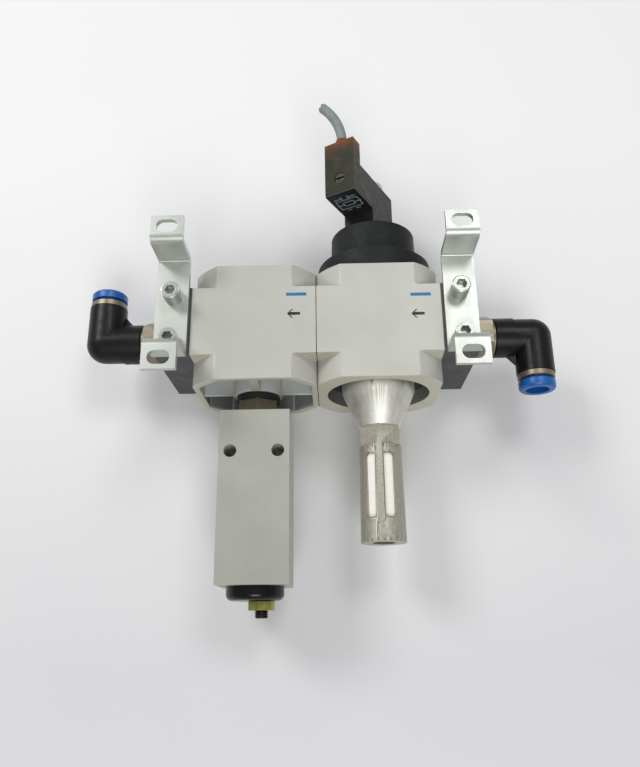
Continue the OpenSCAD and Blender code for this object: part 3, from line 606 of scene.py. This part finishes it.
def slab(outline, thick, place):
    """A thin plate of that outline. place takes outline x, y and height z to the part's frame."""
    bm = bmesh.new()
    low = [bm.verts.new((x, y, 0)) for x, y in outline]
    face = bm.faces.new(low)
    grown = bmesh.ops.extrude_face_region(bm, geom=[face])
    top = [v for v in grown["geom"] if isinstance(v, bmesh.types.BMVert)]
    bmesh.ops.translate(bm, verts=top, vec=(0, 0, thick))
    bmesh.ops.recalc_face_normals(bm, faces=bm.faces)
    return moved(bm, place)


def merged(parts):
    """Several bmeshes as one."""
    out = bmesh.new()
    for part in parts:
        data = bpy.data.meshes.new("part")
        part.to_mesh(data)
        part.free()
        out.from_mesh(data)
        bpy.data.meshes.remove(data)
    return out


def lathe(profile, steps, flutes=0, flute_depth=0.0, shape=None):
    """A closed solid of revolution about Z from (radius, z) points. Flutes are cut into all but
    the smallest radii. shape, if given, works out a point's radius from radius, z and angle."""
    bm = bmesh.new()
    rings = []
    for radius, z in profile:
        ring = []
        for i in range(steps):
            angle = 2 * math.pi * i / steps
            r = radius
            if flutes and radius > flute_depth * 4:
                r -= flute_depth * (0.5 - 0.5 * math.cos(flutes * angle)) ** 2
            if shape:
                r = shape(radius, z, angle)
            ring.append(bm.verts.new((r * math.cos(angle), r * math.sin(angle), z)))
        rings.append(ring)
    for a, b in zip(rings, rings[1:]):
        for i in range(steps):
            j = (i + 1) % steps
            bm.faces.new((a[i], a[j], b[j], b[i]))
    bm.faces.new(rings[0][::-1])
    bm.faces.new(rings[-1])
    bmesh.ops.recalc_face_normals(bm, faces=bm.faces)
    return bm


def moved(bm, place):
    bmesh.ops.transform(bm, matrix=place, verts=bm.verts)
    return bm


def points_mm(points):
    """Points given in millimetres, in metres."""
    return [(x * MM, y * MM) for x, y in points]


def wall_face(x, z):
    """Outline x runs along the row of modules and y up their wall side."""
    return Matrix.Translation((x, WALL_Y, z)) @ Matrix.Rotation(math.pi / 2, 4, "X")


INK_T = 0.03 * MM
BAR_HALF_MM = (4.6, 0.75)
BAR_SLANT_MM = 0.25
# Centres of the blue bar and of the flow arrow on each module, as x and z.
LABELS_MM = {"left": ((-8.7, 6.2), (-9.9, -3.1)), "right": ((46.0, 5.0), (44.4, -4.2))}


def arrow_outline():
    """A left-pointing arrow with an open head, its tip at the left."""
    half_h, shaft, tip, notch = 2.0, 0.6, -2.9, 0.75
    inner, front, back, end = tip + 1.3, tip + 1.95, tip + 2.75, -tip
    return points_mm([(tip, 0), (front, half_h), (back, half_h), (inner, notch), (end, shaft),
                      (end, -shaft), (inner, -notch), (back, -half_h), (front, -half_h)])


def bar_outline():
    """A plain bar with slanted ends."""
    half_w, half_h = BAR_HALF_MM
    return points_mm([(-half_w + BAR_SLANT_MM, -half_h), (half_w, -half_h),
                      (half_w - BAR_SLANT_MM, half_h), (-half_w, half_h)])


def make_labels():
    for side, (bar, arrow) in LABELS_MM.items():
        for name, (x, z), outline, ink in ((side + "_label_bar", bar, bar_outline(), "blue_ink"),
                                           (side + "_flow_arrow", arrow, arrow_outline(),
                                            "black_ink")):
            print_mesh = slab(outline, INK_T, wall_face(x * MM, z * MM))
            piece(name, print_mesh, ink, "unit", smooth=False)


def make_joint_line():
    """The dark edge of the gasket that shows in the groove between the modules."""
    half_t, inset = 0.16 * MM, 0.06 * MM
    near, far = WALL_Y + inset, FRONT_Y - inset
    near_in, far_in = near + CORNER_D, far - CORNER_D
    low, band_low = MODULE_LOW + inset, BAND_LOW + inset
    high, band_high = MODULE_HIGH - inset, BAND_HIGH - inset
    outline = [(near_in, low), (far_in, low), (far_in, band_low), (far, band_low), (far, band_high),
               (far_in, band_high), (far_in, high), (near_in, high), (near_in, band_high),
               (near, band_high), (near, band_low), (near_in, band_low)]
    # Outline x goes along Y and outline y along Z.
    place = Matrix(((0, 0, 1, -half_t), (1, 0, 0, 0), (0, 1, 0, 0), (0, 0, 0, 1)))
    piece("joint_gasket_edge", slab(outline, 2 * half_t, place), "gasket", "unit",
          smooth=False)


def make_coil_nut():
    """The clear retaining nut: fluted round its side, with a well in its top."""
    low, high = COIL_TOP_Z + 0.1 * MM, COIL_TOP_Z + 5.8 * MM
    r, bore, well = 6.3 * MM, 3.1 * MM, 2.6 * MM
    profile = [(bore, low), (r - 0.4 * MM, low), (r, low + 0.5 * MM), (r, high - 1.3 * MM),
               (r - 0.35 * MM, high - 0.6 * MM), (r - 1.1 * MM, high), (well, high),
               (well - 0.3 * MM, high - 0.35 * MM), (0.2 * MM, high - 0.4 * MM)]
    bm = lathe(profile, 144, flutes=24, flute_depth=0.35 * MM)
    bm = moved(bm, Matrix.Translation((VALVE_X, AXIS_Y, 0)))
    nut = piece("coil_nut_fluted", bm, "nut", "retaining_nut")
    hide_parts("coil_nut")


SPINDLE_SLOT = (10 * MM, 0.9 * MM, 3.2 * MM)


def cut_slot(obj, centre, size):
    """Cuts a box out of an object and applies the cut."""
    box = bmesh.new()
    place = Matrix.Translation(centre) @ Matrix.Diagonal((*size, 1))
    bmesh.ops.create_cube(box, size=1, matrix=place)
    cutter = new_object("slot_cutter", box)
    cut = obj.modifiers.new("slot", "BOOLEAN")
    cut.operation = "DIFFERENCE"
    cut.object = cutter
    cut.solver = "EXACT"
    bpy.context.view_layer.update()
    graph = bpy.context.evaluated_depsgraph_get()
    done = bpy.data.meshes.new_from_object(obj.evaluated_get(graph))
    obj.modifiers.clear()
    obj.data = done
    bpy.data.objects.remove(cutter)


def make_spindle():
    """The adjusting spindle with its thread cut, slotted at the lower end."""
    box_low, box_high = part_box("adjusting_spindle")
    low, high = box_low.z, box_high.z
    crest, root, pitch, lead_in, tip = 2.9 * MM, 2.42 * MM, 1.0 * MM, 0.6 * MM, 0.1 * MM
    levels = 220

    def thread(radius, z, angle):
        if radius < root * 0.99:
            return radius
        turn = ((z - low) / pitch - angle / (2 * math.pi)) % 1.0
        ridge = abs(turn - 0.5) * 2
        depth = min(1.0, max(0.0, (ridge - 0.12) / 0.7))
        lead = min(1.0, (z - low) / lead_in, (high - z) / lead_in)
        return min(radius, root + (crest - root) * (1 - depth) * max(0.0, lead))

    side = [(crest, low + (high - low) * i / levels) for i in range(levels + 1)]
    bm = lathe([(tip, low), *side, (tip, high)], 48, shape=thread)
    bm = moved(bm, Matrix.Translation((SPINDLE_X, AXIS_Y, 0)))
    spindle = piece("spindle_thread", bm, "spindle", "spindle")
    cut_slot(spindle, (SPINDLE_X, AXIS_Y, low), SPINDLE_SLOT)
    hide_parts("adjusting_spindle")


CORE_OFFSET = 1.1 * MM
CORE_PROFILE_MM = [(0.1, -0.4), (0.7, -0.4), (0.72, 0.45), (0.66, 0.6), (0.1, 0.6)]
STRAND_PROFILE_MM = [(0.05, 0.55), (0.4, 0.55), (0.4, 0.95), (0.3, 1.05), (0.05, 1.05)]


def cable_end():
    """Where the cable is cut, at the end of its bend: Z points out along the cable."""
    root = SOLENOID @ Matrix.Translation((0, PLUG_FRONT_Y + PLUG_TALL_L / 2, PLUG_TOP_Z))
    root = root @ Matrix.Rotation(COIL_YAW + math.pi, 4, "Z")
    bend = Matrix.Translation((CABLE_BEND_R, 0, CABLE_STRAIGHT))
    return root @ bend @ Matrix.Rotation(CABLE_BEND, 4, "Y") @ Matrix.Translation((-CABLE_BEND_R, 0, 0))


def make_cores():
    """The cable's three cores at its cut end, each with a copper tip."""
    end = cable_end()
    for i, colour in enumerate(("core_yellow", "core_brown", "core_black")):
        turn = math.radians(120 * i)
        spot = end @ Matrix.Translation((CORE_OFFSET * math.cos(turn),
                                         CORE_OFFSET * math.sin(turn), 0))
        core = moved(lathe(points_mm(CORE_PROFILE_MM), 24), spot)
        piece(f"cable_core_{i + 1}", core, colour, "solenoid")
        tip = lathe(points_mm(STRAND_PROFILE_MM), 24, flutes=7, flute_depth=0.08 * MM)
        piece(f"cable_strand_{i + 1}", moved(tip, spot), "copper", "solenoid")
    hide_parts("cable_wires")


PRINT_LINE_MM = 0.4


def strip(x0, y0, x1, y1):
    """Outline of a straight printed line between two points in millimetres."""
    length = math.hypot(x1 - x0, y1 - y0)
    half = PRINT_LINE_MM / 2
    nx, ny = -(y1 - y0) / length * half, (x1 - x0) / length * half
    return points_mm([(x0 + nx, y0 + ny), (x0 - nx, y0 - ny), (x1 - nx, y1 - ny),
                      (x1 + nx, y1 + ny)])


def make_plug_print():
    """A generic contact diagram on the plug's underside: two boxes joined by lines."""
    under = SOLENOID @ Matrix.Translation((0, 0, PLUG_UNDER_Z)) @ Matrix.Rotation(math.pi, 4, "X")
    lines = []
    for x0, y0, x1, y1 in ((-5.4, 20.0, 5.4, 27.0), (-2.6, 22.2, 2.6, 25.0)):
        lines += [(x0, y0, x1, y0), (x1, y0, x1, y1), (x1, y1, x0, y1), (x0, y1, x0, y0)]
    lines += [(-5.4, 28.6, -1.6, 28.6), (1.6, 28.6, 5.4, 28.6), (-1.6, 27.0, -1.6, 30.0),
              (1.6, 27.0, 1.6, 30.0), (-6.2, 23.5, -2.6, 23.5), (2.6, 23.5, 6.2, 23.5),
              (-3.4, 18.4, -1.2, 18.4), (1.0, 18.4, 3.4, 18.4)]
    bm = merged([slab(strip(*line), INK_T, under) for line in lines])
    piece("plug_contact_print", bm, "pale_ink", "solenoid", smooth=False)


def make_slot_shade():
    """A short dark mark near the top of the plug's front: painted shade in place of a slot."""
    # Painted shade: a dark sheet where the plug has a slot.
    place = Matrix.Translation((0, PLUG_FRONT_Y, PLUG_TOP_Z - 2.9 * MM))
    front = SOLENOID @ place @ Matrix.Rotation(math.pi / 2, 4, "X")
    outline = points_mm([(-3.7, -0.45), (1.8, -0.15), (1.8, 0.45), (-3.7, 0.3)])
    piece("plug_slot_shade", slab(outline, INK_T, front), "black_ink", "solenoid",
          smooth=False)


# ---- Backdrop and light ----

BACKDROP_Y = 77.5 * MM
BACKDROP_HALF = 4.0
# Name, place in metres, side of the square in metres, power in watts.
LAMPS = (("upper_left", (-0.85, -1.0, 0.7), 0.45, 8.6),
         ("upper_right", (0.4, -1.2, 0.6), 0.45, 4.2),
         ("below", (0.1, -0.9, -0.9), 0.6, 7.4),
         ("far_side", (0.3, 1.3, 0.8), 0.9, 8))
SKY_COLOUR = (0.96, 0.97, 1.0, 1)
SKY_STRENGTH = 0.35


def make_backdrop():
    """The pale surface that the unit lies on, seen from its front side only, darker towards the bottom
    with painted shade.
    """
    s = Shader("pale_surface", Specular_IOR_Level=0.2)
    # Painted shade: the surface darkens towards the bottom, where less light falls.
    height = s.spread(s.axis("Z"), -150 * MM, 130 * MM)
    cloud = s.times(s.maths("SUBTRACT", s.noise(90, detail=2), 0.5), 0.16)
    s.colour(s.ramp(s.maths("ADD", height, cloud), [(0.0, linear((212, 212, 213))),
                                                    (0.45, linear((230, 230, 230))),
                                                    (1.0, linear((240, 240, 239)))]))
    s.principled.inputs["Roughness"].default_value = 0.6
    clear = s.add("ShaderNodeBsdfTransparent")
    choose = s.add("ShaderNodeMixShader")
    s.join(s.add("ShaderNodeNewGeometry").outputs["Backfacing"], choose.inputs["Fac"])
    s.join(s.principled.outputs[0], choose.inputs[1])
    s.join(clear.outputs[0], choose.inputs[2])
    s.join(choose.outputs[0], s.tree.nodes["Material Output"].inputs["Surface"])
    bm = bmesh.new()
    half = BACKDROP_HALF
    corners = ((-half, -half), (half, -half), (half, half), (-half, half))
    bm.faces.new([bm.verts.new((x, BACKDROP_Y, z)) for x, z in corners])
    obj = new_object("backdrop", bm)
    obj.data.materials.append(s.material)
    obj.visible_shadow = False


def lamp(name, place, size, power):
    """A square lamp that points at the middle of the unit."""
    data = bpy.data.lights.new(name, "AREA")
    data.shape = "SQUARE"
    data.size = size
    data.energy = power
    obj = bpy.data.objects.new(name, data)
    obj.location = place
    obj.rotation_mode = "QUATERNION"
    centre = Vector((0, AXIS_Y, 0))
    obj.rotation_quaternion = (centre - Vector(place)).to_track_quat("-Z", "Y")
    bpy.context.scene.collection.objects.link(obj)


def make_light():
    world = bpy.data.worlds.new("studio")
    bpy.context.scene.world = world
    world.use_nodes = True
    background = world.node_tree.nodes["Background"]
    background.inputs["Color"].default_value = SKY_COLOUR
    background.inputs["Strength"].default_value = SKY_STRENGTH
    for settings in LAMPS:
        lamp(*settings)
    bpy.context.scene.view_settings.view_transform = "Standard"


make_camera()
make_labels()
make_joint_line()
make_coil_nut()
make_spindle()
make_cores()
make_plug_print()
make_slot_shade()
make_backdrop()
make_light()
